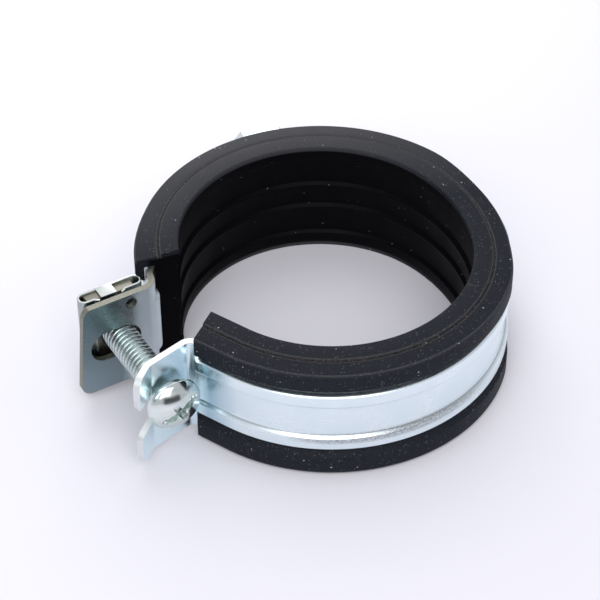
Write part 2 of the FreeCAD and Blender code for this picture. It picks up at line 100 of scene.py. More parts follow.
# %% [markdown]
# ## Sizes and the ring's line
# The clamp is drawn about its closure line, which lies along -X, and the finished pieces are
# turned by 6 degrees so that the nut points along +Y. The ring is three tangent arcs: the back
# half about the origin, a flatter arc at the flex point, and the front half, which is the same
# round shape swung open by 7.9 degrees about the flex point. The front half ends in a straight run.
# One circle would be simpler, but a real band flexes like this when it is opened, and arcs that
# are tangent to each other keep it free of kinks.

# %% Sizes
CLOSURE_TURN, OPEN_ANGLE, FLEX_HALF = 6.0, 7.9, 20.0
FORK_TURN, FRONT_STRAIGHT = 12.8, 12.0
SEAT, LINING_OUT, LINING_HALF = 26.0, 33.5, 12.3
BAND_OUT, THICK, HALF_WIDTH = 33.1, 1.25, 10.0
LIP_SEAT, WEB_DEPTH, PLAIN_DEPTH = 1.1, 0.7, 0.35
WEB_HALF, STEP_RUN, BEAD_EDGE = 3.4, 0.5, 6.3

PIVOT = np.array([BAND_OUT - LIP_SEAT, 0.0])
FLEX_SHIFT = PIVOT[0] * math.sin(math.radians(OPEN_ANGLE / 2)) \
    / math.sin(math.radians(FLEX_HALF - OPEN_ANGLE / 2))
FLEX_END = OPEN_ANGLE - FLEX_HALF
FRONT_END = FORK_TURN + FRONT_STRAIGHT + OPEN_ANGLE - 180
print("flex arc's centre is shifted by", round(FLEX_SHIFT, 2), "mm, the ring ends at", round(FRONT_END, 1))


# %% Ring helpers
def unit(degrees):
    """Unit vectors at these angles from +X, one row each."""
    angle = np.radians(np.asarray(degrees, float))
    return np.stack([np.cos(angle), np.sin(angle)], axis=-1)


def smooth(value):
    """0 below 0, 1 above 1, and an even S between."""
    t = np.clip(value, 0, 1)
    return t * t * (3 - 2 * t)


def turned(points, degrees):
    """Points turned about the origin, in the plane."""
    c, s = unit(degrees)
    return points @ np.array([[c, s], [-s, c]])


def swung(points):
    """Points of the front half, swung open about the flex point."""
    return turned(points - PIVOT, OPEN_ANGLE) + PIVOT


BACK_CENTRE = np.zeros(2)
FLEX_CENTRE = -FLEX_SHIFT * unit(FLEX_HALF)
FRONT_CENTRE = swung(np.zeros((1, 2)))[0]


def on_ring(facing, radius):
    """Centre of the arc + (radius + the arc's extra) x direction.

    Past the front's end the points lie on the tangent at the same radius.
    """
    facing = np.asarray(facing, float)
    stretch = 1 / np.cos(np.radians(np.clip(FRONT_END - facing, 0, 60)))
    zone = (facing < FLEX_HALF).astype(int) + (facing < FLEX_END)
    centre = np.stack([BACK_CENTRE, FLEX_CENTRE, FRONT_CENTRE])[zone]
    extra = np.array([0.0, FLEX_SHIFT, 0.0])[zone]
    return centre + (stretch * (radius + extra))[..., None] * unit(facing)


# %% Mesh helpers
def to_row(points):
    """Turn XY points from the closure line's frame to the row frame."""
    flat = turned(points[..., :2].reshape(-1, 2), CLOSURE_TURN).reshape(points.shape[:-1] + (2,))
    return np.concatenate([flat, points[..., 2:]], axis=-1)


def grid_faces(rows, columns, closed=False):
    """Four-cornered faces between neighbours of a rows x columns grid, whose rows may be loops."""
    i, j = np.meshgrid(np.arange(rows - 1), np.arange(columns if closed else columns - 1), indexing="ij")
    i2, j2 = i + 1, (j + 1) % columns
    corners = [i * columns + j, i2 * columns + j, i2 * columns + j2, i * columns + j2]
    return np.stack(corners, axis=-1).reshape(-1, 4)


def add_mesh(name, points, faces, caps=()):
    """A mesh object from points in millimetres, four-cornered faces and flat caps."""
    mesh = bpy.data.meshes.new(name)
    mesh.from_pydata((points.reshape(-1, 3) * MM).tolist(), [], faces.tolist() + [list(c) for c in caps])
    mesh.validate()
    thing = bpy.data.objects.new(name, mesh)
    bpy.context.scene.collection.objects.link(thing)
    return thing


def add_tube(name, loops):
    """A closed tube through rows of points, each row a loop, with a flat cap at both ends."""
    rows, columns = loops.shape[:2]
    caps = range(columns), range(rows * columns - 1, (rows - 1) * columns - 1, -1)
    return add_mesh(name, loops, grid_faces(rows, columns, closed=True), caps)


def face_outwards(thing):
    """Point all faces of a closed mesh outwards."""
    work = bmesh.new()
    work.from_mesh(thing.data)
    bmesh.ops.remove_doubles(work, verts=work.verts, dist=1e-7)
    bmesh.ops.recalc_face_normals(work, faces=work.faces)
    work.to_mesh(thing.data)
    work.free()
    return thing


def shade(thing, sharp):
    """Smooth shading that stays sharp at edges which turn by more than this angle."""
    thing.data.shade_smooth()
    thing.data.set_sharp_from_angle(angle=math.radians(sharp))


def round_edges(thing, width, angle):
    """Round the edges that turn by more than the angle with a Bevel modifier."""
    bevel = thing.modifiers.new("rounded_edges", "BEVEL")
    bevel.width = width * MM
    bevel.segments = 2
    bevel.limit_method = "ANGLE"
    bevel.angle_limit = math.radians(angle)
    bevel.harden_normals = True


def loop_uv(thing, name, u, v):
    """Give a mesh a UV map from two values per vertex."""
    mesh = thing.data
    corner_vertex = np.empty(len(mesh.loops), int)
    mesh.loops.foreach_get("vertex_index", corner_vertex)
    pairs = np.stack([u.ravel(), v.ravel()], axis=-1)[corner_vertex]
    mesh.uv_layers.new(name=name).data.foreach_set("uv", pairs.ravel())


def rounded_loop(corners, radii, steps=5):
    """A closed outline whose corners are arcs: points at equal turns between two tangent points."""
    p = np.asarray(corners, float)
    r = np.broadcast_to(np.asarray(radii, float), len(p))
    before, after = np.roll(p, 1, axis=0) - p, np.roll(p, -1, axis=0) - p
    a = before / np.linalg.norm(before, axis=1)[:, None]
    b = after / np.linalg.norm(after, axis=1)[:, None]
    half = np.arccos(np.clip((a * b).sum(1), -1, 1)) / 2
    middle = (a + b) / np.linalg.norm(a + b, axis=1)[:, None]
    centre = p + middle * (r / np.sin(half))[:, None]
    start, end = p + a * (r / np.tan(half))[:, None], p + b * (r / np.tan(half))[:, None]
    share = np.linspace(0, 1, steps)[None, :, None]
    sweep = (np.pi - 2 * half)[:, None, None]
    u, v = (start - centre)[:, None], (end - centre)[:, None]
    arc = (np.sin((1 - share) * sweep) * u + np.sin(share * sweep) * v) / np.sin(sweep)
    return (centre[:, None] + arc).reshape(-1, 2)


def softened_copy(node, width):
    """A merged copy of a CAD node with its sharp edges rounded. It replaces the node."""
    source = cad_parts[node]
    mesh = source.data.copy()
    work = bmesh.new()
    work.from_mesh(mesh)
    bmesh.ops.remove_doubles(work, verts=work.verts, dist=1e-6)
    bmesh.ops.dissolve_limit(work, angle_limit=math.radians(0.5), verts=work.verts, edges=work.edges)
    work.to_mesh(mesh)
    work.free()
    mesh.materials.clear()
    mesh.shade_smooth()
    copy = bpy.data.objects.new(node + "_soft", mesh)
    bpy.context.scene.collection.objects.link(copy)
    round_edges(copy, width, 32)
    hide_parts(node)
    print(copy.name, len(mesh.polygons), "faces before its bevel")
    return copy


# %% [markdown]
# ## Rubber lining
# The lining is an extruded rubber strip. One profile holds the ribbed seat, the flat faces at its
# two sides with a groove in each, and the lips that grip the steel. A curve with a bevel object
# could carry that profile round the ring. A grid worked out here does the same and more: each end
# stops on the plane where the strip was cut, the lips can give a little, and the profile's own
# radius and height become a map that the rubber's dust, its painted sheen and shade, and the
# painted highlights on its edges follow.

# %% Rubber lining
LIP_FACE, TOP_LAND, TOP_GROOVE, TOP_DROP = 4.2, 29.5, 0.6, 0.35
REAR_CUT, FRONT_IN, FRONT_CUT = 6.1, 3.1, 36.6
RIB_AT, RIB_HALF, RELIEF, SEAT_LAND = 2.7, 0.45, 0.6, 3.1
LIP_SPREAD, SPREAD_FROM, SPREAD_OVER = 1.0, 140, 35
LIP_TUCK, TUCK_AT, TUCK_REACH, TUCK_FADE = 0.65, -6, 32, 20
GIVE_FROM, GIVE_OVER = 30, 3.0


def lining_profile():
    """Rounded outline of the rubber in radius and height, upper half drawn and mirrored below."""
    strip = BAND_OUT - LIP_SEAT
    groove = LINING_HALF - TOP_DROP
    upper = np.array([
        (SEAT + RELIEF, RIB_AT - 2 * RIB_HALF, 0.3),
        (SEAT, RIB_AT - RIB_HALF / 2, 0.2),
        (SEAT, RIB_AT + RIB_HALF / 2, 0.2),
        (SEAT + RELIEF, RIB_AT + 2 * RIB_HALF, 0.3),
        (SEAT + RELIEF, LINING_HALF - SEAT_LAND - RELIEF, 0.3),
        (SEAT, LINING_HALF - SEAT_LAND, 0.3),
        (SEAT, LINING_HALF, 0.35),
        (TOP_LAND, LINING_HALF, 0.12),
        (TOP_LAND + TOP_GROOVE / 2, groove - TOP_DROP / 2, 0.08),
        (TOP_LAND + TOP_GROOVE, groove, 0.12),
        (LINING_OUT, groove, 0.45),
        (LINING_OUT, LINING_HALF - LIP_FACE, 0.15),
        (strip + 0.05, BEAD_EDGE + STEP_RUN, 0.1),
        (strip + 0.05, HALF_WIDTH + 0.05, 0.05),
        (strip - THICK - 0.05, HALF_WIDTH + 0.05, 0.05),
    ])
    lower = upper[::-1] * (1, -1, 1)
    corners = np.concatenate([upper, lower])
    return rounded_loop(corners[:, :2], corners[:, 2])


def lining_surface(profile, stations=420):
    """Profile carried along the ring: facing runs evenly from the rear cut to the front cut.

    The outer lips stand out near the rear cut and in beside the flex point, by amounts that
    rise and fall smoothly with the facing angle and with the radius.
    """
    radius, height = profile[:, 0], profile[:, 1]
    rear = 180 - np.degrees(np.arcsin(REAR_CUT / radius))
    across = unit(90 + FRONT_CUT)
    out, on = unit(FRONT_END - OPEN_ANGLE), unit(FRONT_END - OPEN_ANGLE - 90)
    run = (np.array([-SEAT, -FRONT_IN]) @ across - radius * (out @ across)) / (on @ across)
    front = FRONT_END - np.degrees(np.arctan2(run, radius))
    share = np.linspace(0, 1, stations)[:, None]
    facing = rear + share * (front - rear)
    spread = LIP_SPREAD * smooth((facing - SPREAD_FROM) / SPREAD_OVER)
    tuck = LIP_TUCK * smooth((TUCK_REACH - np.abs(facing - TUCK_AT)) / TUCK_FADE)
    give = (spread - tuck) * smooth((radius - GIVE_FROM) / GIVE_OVER)
    flat = on_ring(facing, radius + give)
    points = np.concatenate([flat, np.broadcast_to(height, facing.shape)[..., None]], axis=-1)
    return to_row(points)


profile = lining_profile()
lining_points = lining_surface(profile)
rows, columns = lining_points.shape[:2]
lining = add_tube("lining_profile", lining_points)
profile_radius, profile_height = np.broadcast_to(profile.T[:, None], (2, rows, columns))
loop_uv(lining, "across_profile", profile_radius, profile_height)
face_outwards(lining)
shade(lining, 50)
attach(lining, "clamp")
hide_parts("rubber_lining")
print("lining:", rows, "stations x", columns, "profile points")

# %% [markdown]
# ## Steel band
# The band is one strip of steel. Its line runs from the rear ear, round a tight bend, over the
# ring and out again along the fork, whose tip is flared. Across its width the strip steps from a
# sunk web to two beads and down to the seats of the rubber lips. Near the ears the steps fade
# into the flat strip. A flat sheet could be bent along a curve and given its thickness by a
# Solidify modifier, but the steps and the holes have to keep their places on the steel. So the
# strip is a function of the way along it and the way across it, which its material uses as well.

# %% The strip's line
PLAIN = BAND_OUT - PLAIN_DEPTH
BEND = 1.2
REAR_TURN, REAR_OFFSET, REAR_TIP = 8.0, 5.3, 47.5
FORK_OFFSET, FORK_FLAT_END = 0.86, 42.4
FLARE_ANGLE, FLARE_RADIUS, FLARE_LENGTH = 27.5, 1.5, 4.5

REAR_BEND_DEPTH, FORK_BEND_DEPTH = REAR_OFFSET + THICK + BEND, BEND - FORK_OFFSET
REAR_BEND_TURN = math.degrees(math.acos(REAR_BEND_DEPTH / (PLAIN + BEND)))
FORK_BEND_TURN, STRAIGHT = 90 - FRONT_STRAIGHT, math.radians(FRONT_STRAIGHT)
REAR_BEND_OUT = math.sqrt((PLAIN + BEND) ** 2 - REAR_BEND_DEPTH ** 2)
FORK_BEND_OUT = (PLAIN + BEND - FORK_BEND_DEPTH * math.sin(STRAIGHT)) / math.cos(STRAIGHT)
FRONT_RUN = FORK_BEND_OUT * math.sin(STRAIGHT) - FORK_BEND_DEPTH * math.cos(STRAIGHT)


def ear_axes(turn, offset):
    """Origin, direction out along the ear, and direction out of its front face."""
    return offset * unit(90 + turn), unit(180 + turn), unit(270 + turn)


def bend_run(centre, radius, towards):
    """An arc round a centre that lies outside the strip, so the strip faces the centre."""
    return centre + radius * unit(towards), -unit(towards)


def straight_run(start, end, facing, share):
    """Start + share x the way to the end, for each of the shares, all facing one way."""
    share = np.asarray(share)[:, None]
    return start + share * (end - start), np.repeat(unit(facing)[None], len(share), axis=0)


def strip_line():
    """The strip's outer face from the rear tip to the fork's: points, directions, the ring's angle."""
    dense_start = 1 - np.cos(np.linspace(0, np.pi / 2, 60))
    bend_steps = np.linspace(0, 1, 16)[1:]
    origin, along, front = ear_axes(REAR_TURN, REAR_OFFSET)
    rear_face = origin - THICK * front
    runs = [
        straight_run(rear_face + REAR_TIP * along, rear_face + REAR_BEND_OUT * along,
                     90 + REAR_TURN, dense_start),
        bend_run(rear_face + REAR_BEND_OUT * along - BEND * front, BEND,
                 270 + REAR_TURN + REAR_BEND_TURN * bend_steps),
    ]
    run_end = FRONT_END - math.degrees(math.atan2(FRONT_RUN, PLAIN))
    facing = np.linspace(90 + REAR_TURN + REAR_BEND_TURN, run_end, 540)[1:]
    runs.append((on_ring(facing, np.full(len(facing), PLAIN)), unit(np.maximum(facing, FRONT_END))))
    origin, along, front = ear_axes(FORK_TURN, FORK_OFFSET)
    flare = bend_run(origin + FORK_FLAT_END * along + FLARE_RADIUS * front, FLARE_RADIUS,
                     90 + FORK_TURN + np.linspace(0, FLARE_ANGLE, 10)[1:])
    tip = flare[0][-1] + FLARE_LENGTH * unit(180 + FORK_TURN + FLARE_ANGLE)
    fork = [
        bend_run(origin + FORK_BEND_OUT * along + BEND * front, BEND,
                 90 + FORK_TURN - FORK_BEND_TURN * (1 - bend_steps)),
        straight_run(origin + FORK_BEND_OUT * along, origin + FORK_FLAT_END * along, 270 + FORK_TURN,
                     np.linspace(0, 1, 30)[1:]),
        flare,
        straight_run(flare[0][-1], tip, 270 + FORK_TURN + FLARE_ANGLE, 1 - dense_start[::-2][1:]),
    ]
    runs += [(swung(points), turned(facings, OPEN_ANGLE)) for points, facings in fork]
    before = len(runs[0][0]) + len(runs[1][0])
    points = np.concatenate([r[0] for r in runs])
    facings = np.concatenate([r[1] for r in runs])
    ring_facing = np.full(len(points), np.nan)
    ring_facing[before:before + len(facing)] = facing
    return points, facings, ring_facing


line, line_out, line_facing = strip_line()
way = np.concatenate([[0.0], np.cumsum(np.linalg.norm(np.diff(line, axis=0), axis=1))])
RING_START, RING_STOP = way[np.nanargmax(line_facing)], way[np.nanargmin(line_facing)]
print("strip is", round(way[-1], 1), "mm long, longest step", round(float(np.diff(way).max()), 2), "mm")

# %% The strip's section
BUMP_HALF, BUMP_RISE, BUMP_EDGE, BUMP_END, BUMP_SIDE = 11.7, 3.8, 5.9, 2.5, 1.9
CORNER, RUN_OUT, TIP_SLANT, SLANT_RUN = 2.2, 2.4, 1.3, 4.5
BEND_DIP, DIP_FROM, DIP_RISE, DIP_TO, DIP_FALL = 0.8, -1.6, 1.4, 4.0, 3.0
DIP_EDGE, DIP_SIDE, STEP_SOFT = BEAD_EDGE + 0.4, 0.7, 0.1


def section_height(across):
    """Height of the strip's outer face: web, step up to the bead, step down to the lip seat."""
    a = np.abs(across)
    step_up = smooth((a - WEB_HALF + STEP_SOFT) / (STEP_RUN + 2 * STEP_SOFT))
    step_down = smooth((a - BEAD_EDGE + STEP_SOFT) / (STEP_RUN + 2 * STEP_SOFT))
    return PLAIN_DEPTH - WEB_DEPTH + WEB_DEPTH * step_up - LIP_SEAT * step_down


def strip_surface():
    """Outer and inner face of the strip, as stations x a closed loop across it.

    The outer face is the line + the section's height x the way out, with the dip at the rear bend
    and the raised bead at the flex point. The inner face lies one thickness below it. The width
    follows round corners at both tips, and the rear tip is cut at a slant.
    """
    half = np.concatenate([
        np.linspace(-HALF_WIDTH, -BEAD_EDGE - 0.8, 5),
        np.linspace(-BEAD_EDGE - 0.6, -BEAD_EDGE + 0.2, 7),
        np.linspace(-BEAD_EDGE + 0.6, -WEB_HALF - 0.9, 5),
        np.linspace(-WEB_HALF - 0.7, -WEB_HALF + 0.1, 7),
        np.linspace(-WEB_HALF + 0.6, 0, 5),
    ])
    across = np.concatenate([half, -half[-2::-1]])
    from_end = np.minimum(way, way[-1] - way)
    inset = np.clip(CORNER - from_end, 0, CORNER)
    width = 1 - (CORNER - np.sqrt(CORNER ** 2 - inset ** 2)) / HALF_WIDTH
    shaped = smooth((way - RING_START - RUN_OUT / 2) / RUN_OUT) * smooth((RING_STOP - way) / (RUN_OUT / 4))
    dip = smooth((way - RING_START - DIP_FROM) / DIP_RISE) * smooth((RING_START + DIP_TO - way) / DIP_FALL)
    on_arcs = ~np.isnan(line_facing)
    flex_middle = np.interp(-OPEN_ANGLE / 2, -line_facing[on_arcs], way[on_arcs])
    off = np.abs(way - flex_middle)
    height = shaped[:, None] * section_height(across)
    height = height - BEND_DIP * dip[:, None] * smooth((DIP_EDGE - np.abs(across)) / DIP_SIDE)
    top = PLAIN_DEPTH + BUMP_RISE * (1 - np.clip(off / BUMP_HALF, 0, 1) ** 2)
    raised = smooth((BUMP_HALF - off) / BUMP_END)[:, None] * smooth((BUMP_EDGE - np.abs(across)) / BUMP_SIDE)
    height = height + (top[:, None] - height) * raised
    spread = np.broadcast_to(across, height.shape) * width[:, None]
    slant = TIP_SLANT * smooth((SLANT_RUN - way) / SLANT_RUN)[:, None] * (across / HALF_WIDTH + 1) / 2
    slant = slant[..., None] * unit(180 + REAR_TURN)
    faces = []
    for depth, turn in ((0.0, slice(None)), (THICK, slice(None, None, -1))):
        flat = line[:, None] + (height - depth)[..., None] * line_out[:, None] - slant
        faces.append(np.concatenate([flat, spread[..., None]], axis=-1)[:, turn])
    return np.concatenate(faces, axis=1), np.concatenate([across, across[::-1]])


strip_points, strip_across = strip_surface()
band = face_outwards(add_tube("steel_band", to_row(strip_points)))
loop_uv(band, "along_strip", *np.broadcast_arrays(way[:, None], strip_across))
print("strip:", len(way), "stations x", len(strip_across), "points across")


# %% [markdown]
# The slot of the rear ear, the small pin hole and the fork's open slot go through the strip. Each
# is an outline in the ear's plane, pushed through the sheet and taken away with a Boolean. The
# strip's grid could be bent round a hole instead, but three crisp holes are easier to cut.

# %% Holes in the ears
REAR_SLOT_AT, REAR_SLOT_LONG, REAR_SLOT_WIDE = 40.0, 10.2, 6.5
PIN_OUT, PIN_UP, PIN_RADIUS = 36.5, 8.0, 1.15
FORK_BOTTOM, FORK_WIDE, LOBE_ROUND, BEYOND_TIP = 35.5, 6.8, 1.2, 3
CUT_REACH = 6.0
FORK_TIP = FORK_FLAT_END + (FLARE_RADIUS + THICK) * math.sin(math.radians(FLARE_ANGLE)) \
    + FLARE_LENGTH * math.cos(math.radians(FLARE_ANGLE))


def round_ends(middle, long, wide, steps=20):
    """Outline of a slot with round ends: two half circles."""
    half = (long - wide) / 2
    outer = np.array([middle + half, 0]) + wide / 2 * unit(np.linspace(-90, 90, steps))
    inner = np.array([middle - half, 0]) + wide / 2 * unit(np.linspace(90, 270, steps))
    return np.concatenate([outer, inner])


def fork_outline():
    """Round bottom, straight sides, and a mouth whose corners curve away by the lobes' rounding."""
    half = FORK_WIDE / 2
    bottom = np.array([FORK_BOTTOM + half, 0]) + half * unit(np.linspace(90, 270, 30))
    corner = np.array([FORK_TIP - LOBE_ROUND, half + LOBE_ROUND]) + LOBE_ROUND * unit(np.linspace(-90, 0, 8))
    beyond = np.array([(FORK_TIP + BEYOND_TIP, half + LOBE_ROUND)])
    upper = np.concatenate([corner, beyond])
    return np.concatenate([bottom, (upper * (1, -1)), upper[::-1]])


def ear_cutter(name, outline, turn, offset, swing):
    """A closed prism over an outline of (way out, height) that stands across the ear.

    Its map gives the walls that it cuts the values of the strip's own end.
    """
    origin, along, front = ear_axes(turn, offset)
    flat = origin + outline[:, :1] * along
    sides = [flat + depth * front for depth in (-CUT_REACH, CUT_REACH)]
    if swing:
        sides = [swung(side) for side in sides]
    points = np.stack([np.concatenate([side, outline[:, 1:]], axis=1) for side in sides])
    count = len(outline)
    cutter = add_tube(name, to_row(points))
    end = way[-1] if swing else 0.0
    loop_uv(cutter, "along_strip", np.full(2 * count, end), np.full(2 * count, HALF_WIDTH))
    return face_outwards(cutter)


def cut_through(thing, cutters):
    """Take the cutters away from a closed mesh, then remove them."""
    for cutter in cutters:
        hole = thing.modifiers.new(cutter.name, "BOOLEAN")
        hole.object = cutter
        hole.operation = "DIFFERENCE"
        hole.solver = "EXACT"
    ready = bpy.data.meshes.new_from_object(thing.evaluated_get(bpy.context.evaluated_depsgraph_get()))
    thing.modifiers.clear()
    thing.data = ready
    for cutter in cutters:
        bpy.data.objects.remove(cutter)


pin_hole = np.array([PIN_OUT, PIN_UP]) + PIN_RADIUS * unit(np.arange(0, 360, 10))
rear_slot = round_ends(REAR_SLOT_AT, REAR_SLOT_LONG, REAR_SLOT_WIDE)
cut_through(band, [
    ear_cutter("rear_slot", rear_slot, REAR_TURN, REAR_OFFSET, False),
    ear_cutter("pin_hole", pin_hole, REAR_TURN, REAR_OFFSET, False),
    ear_cutter("fork_slot", fork_outline(), FORK_TURN, FORK_OFFSET, True),
])
shade(band, 35)
round_edges(band, 0.14, 40)
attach(band, "clamp")
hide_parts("band")
print("band has", len(band.data.polygons), "faces after its holes")

# %% [markdown]
# ## Closing screw
# An M6 pan head screw. Its thread is a surface whose radius depends on the turn and the way along:
# it rises and falls once per millimetre and the whole wave climbs one pitch per turn. The Screw
# modifier makes a helix too, but here the thread also fades out at both ends and closes there. The
# head is a dome on a square grid pushed into a disc, sunk where the slot and the cross are, so
# that the straight edges of the slot follow the grid.

# %% Thread
SCREW_OUT, HEAD_GAP, SHANK_RADIUS, SHANK_LONG = 38.5, 18.65, 3.0, 30.0
PITCH, THREAD_DEEP, ROOT_FLAT, FLANK_SHARE, TIP_STEP, INTO_HEAD = 1.0, 0.58, 0.10, 0.74, 0.1, 0.1


def thread_wave(turns, height, pitch):
    """0 at the root and 1 at the crest of a thread: a triangle wave with flattened tops and bottoms."""
    phase = (height / pitch - turns) % 1.0
    flank = 1 - np.abs(2 * phase - 1)
    return smooth((flank - ROOT_FLAT) / FLANK_SHARE)


def thread_surface(radius, depth, start, end, pitch, around=72, per_pitch=14, ramp=0.8):
    """Radius over turn and height: root + wave x depth x fade, within the tip's cone."""
    height = np.linspace(start, end, int((end - start) / pitch * per_pitch))[:, None]
    turns = np.linspace(0, 1, around, endpoint=False)[None]
    fade = smooth((height - start) / ramp) * smooth((end - height) / ramp)
    r = radius - depth + depth * thread_wave(turns, height, pitch) * fade
    r = np.minimum(r, radius - depth + TIP_STEP + np.maximum(height - start, 0))
    circle = unit(360 * turns)
    return np.concatenate([r[..., None] * circle, np.broadcast_to(height, r.shape)[..., None]], axis=-1)


def screw_to_row(points):
    """From the screw's own frame, Z out of its head, to the row frame."""
    origin, along, front = ear_axes(REAR_TURN, REAR_OFFSET)
    x, y, z = points[..., :1], points[..., 1:2], points[..., 2:]
    flat = origin + (SCREW_OUT + x) * along + (HEAD_GAP + z) * front
    return to_row(np.concatenate([flat, -y], axis=-1))


thread_points = thread_surface(SHANK_RADIUS, THREAD_DEEP, -SHANK_LONG, INTO_HEAD, PITCH)
thread = face_outwards(add_tube("screw_thread", screw_to_row(thread_points)))
shade(thread, 70)
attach(thread, "screw")
print("thread:", len(thread_points), "rows of", thread_points.shape[1], "points")


# %% Head
HEAD_RADIUS, HEAD_HIGH, HEAD_SIDE, HEAD_ROUND, RIM_DROP = 5.15, 3.6, 1.3, 0.7, 0.45
SLOT_WIDE, SLOT_DEEP, DRIVER_TURN, SLOT_EDGE = 1.3, 1.5, 29.3, 0.09
CROSS_REACH, CROSS_DEEP, CROSS_TAPER, CROSS_RISE = 1.9, 2.3, 0.16, 0.35


def head_top(count=181):
    """Dome over a square grid in a disc, sunk by the slot and by a tapering cross."""
    u, v = np.meshgrid(np.linspace(-1, 1, count), np.linspace(-1, 1, count), indexing="ij")
    x, y = HEAD_RADIUS * u * np.sqrt(1 - v * v / 2), HEAD_RADIUS * v * np.sqrt(1 - u * u / 2)
    r = np.hypot(x, y)
    ball = (HEAD_RADIUS ** 2 + (HEAD_HIGH - HEAD_SIDE) ** 2) / (2 * (HEAD_HIGH - HEAD_SIDE))
    dome = HEAD_HIGH - ball + np.sqrt(ball ** 2 - r * r)
    rim = np.clip(1 - (HEAD_RADIUS - r) / HEAD_ROUND, 0, 1)
    dome = dome - RIM_DROP * HEAD_ROUND * rim ** 2.5
    slot = smooth((SLOT_WIDE / 2 - np.abs(y)) / SLOT_EDGE + 0.5)
    floor = HEAD_HIGH - SLOT_DEEP
    z = dome - slot * np.maximum(dome - floor, 0)
    arm = SLOT_WIDE / 2 * (1 - CROSS_TAPER * r / CROSS_REACH)
    arm_x, arm_y = (smooth((arm - np.abs(side)) / SLOT_EDGE + 0.5) for side in (y, x))
    in_cross = np.maximum(arm_x, arm_y) * smooth((CROSS_REACH - r) / (2 * SLOT_EDGE) + 0.5)
    bottom = HEAD_HIGH - CROSS_DEEP + CROSS_RISE * r / CROSS_REACH
    z = z - in_cross * np.maximum(z - bottom, 0)
    flat = turned(np.stack([x.ravel(), y.ravel()], axis=-1), DRIVER_TURN)
    return np.concatenate([flat.reshape(x.shape + (2,)), z[..., None]], axis=-1)


def head_surface():
    """The dome's grid, closed below by rings that follow its border down the side and in to the shank."""
    top = head_top()
    n = len(top)
    index = np.arange(n * n).reshape(n, n)
    border = np.concatenate([index[0, :-1], index[:-1, -1], index[-1, :0:-1], index[:0:-1, 0]])
    rim = top.reshape(-1, 3)[border]
    way_out = rim[:, :2] / np.linalg.norm(rim[:, :2], axis=1)[:, None]
    below = [(HEAD_RADIUS, 0.75), (HEAD_RADIUS, 0.25), (HEAD_RADIUS - 0.08, 0.08),
             (HEAD_RADIUS - 0.25, 0.0), (2.3, 0.0)]
    rings = [np.column_stack([radius * way_out, np.full(len(rim), z)]) for radius, z in below]
    points = np.concatenate([top.reshape(-1, 3)] + rings)
    loops = np.concatenate([border[None], n * n + np.arange(len(below) * len(rim)).reshape(len(below), -1)])
    shift = np.roll(loops, -1, axis=1)
    walls = np.stack([loops[:-1], loops[1:], shift[1:], shift[:-1]], axis=-1).reshape(-1, 4)
    return points, np.concatenate([grid_faces(n, n), walls]), loops[-1]


head_points, head_faces, head_base = head_surface()
head = face_outwards(add_mesh("screw_head", screw_to_row(head_points), head_faces, caps=(head_base,)))
shade(head, 38)
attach(head, "screw")
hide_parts("closing_screw")
print("head:", len(head_faces), "faces")

# %% [markdown]
# ## Connection nut, nut plate and cage
# These are pressed and turned pieces with small rounded edges. They could be drawn again as
# profiles, but the solids in the frame already have their shape, and only the edges are too sharp
# to catch the light. So a Bevel modifier softens the edges of a merged copy.

# %% Nut, plate and cage
nut = softened_copy("connection_nut", 0.12)
plate = softened_copy("nut_plate", 0.12)
cage = softened_copy("nut_cage", 0.06)
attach(nut, "clamp")
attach(plate, "caged_nut")
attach(cage, "caged_nut")

# %% [markdown]
# ## Shared shader groups
# Three effects are worked out once, as node groups with named inputs and outputs: fine grain with
# larger soft patches, specks of dust, and fine lines along a direction. Each material places them
# with its own values, so the finishes stay related and a change is made in one place.

# %% Shader groups
def make_group(name, inputs, outputs):
    """An empty shader group with float inputs {name: default} and float outputs."""
    group = bpy.data.node_groups.new(name, "ShaderNodeTree")
    for label, default in inputs.items():
        kind = "NodeSocketVector" if label == "Vector" else "NodeSocketFloat"
        socket = group.interface.new_socket(name=label, in_out="INPUT", socket_type=kind)
        if kind == "NodeSocketFloat":
            socket.default_value = default
    for label in outputs:
        group.interface.new_socket(name=label, in_out="OUTPUT", socket_type="NodeSocketFloat")
    return group, group.nodes.new("NodeGroupInput"), group.nodes.new("NodeGroupOutput")


def math_node(tree, operation, a, b=None, clamp=False):
    """A Math node. A number is set on its socket and an output is linked to it."""
    node = tree.nodes.new("ShaderNodeMath")
    node.operation = operation
    node.use_clamp = clamp
    for socket, value in zip(node.inputs, (a, b)):
        if isinstance(value, (int, float)):
            socket.default_value = value
        elif value is not None:
            tree.links.new(value, socket)
    return node.outputs[0]


def noise_node(tree, vector, scale, detail, rough):
    """A Noise texture's value, at a scale that is a number or an output."""
    node = tree.nodes.new("ShaderNodeTexNoise")
    node.inputs["Detail"].default_value = detail
    node.inputs["Roughness"].default_value = rough
    tree.links.new(vector, node.inputs["Vector"])
    if isinstance(scale, (int, float)):
        node.inputs["Scale"].default_value = scale
    else:
        tree.links.new(scale, node.inputs["Scale"])
    return node.outputs["Fac"]


def range_node(tree, value, low, high, to_low=0.0, to_high=1.0):
    """A value carried evenly from one range to another, and kept within it."""
    node = tree.nodes.new("ShaderNodeMapRange")
    tree.links.new(value, node.inputs["Value"])
    for label, number in (("From Min", low), ("From Max", high), ("To Min", to_low), ("To Max", to_high)):
        node.inputs[label].default_value = number
    return node.outputs["Result"]


def split_vector(tree, vector):
    """The three values of a vector."""
    node = tree.nodes.new("ShaderNodeSeparateXYZ")
    tree.links.new(vector, node.inputs[0])
    return node.outputs


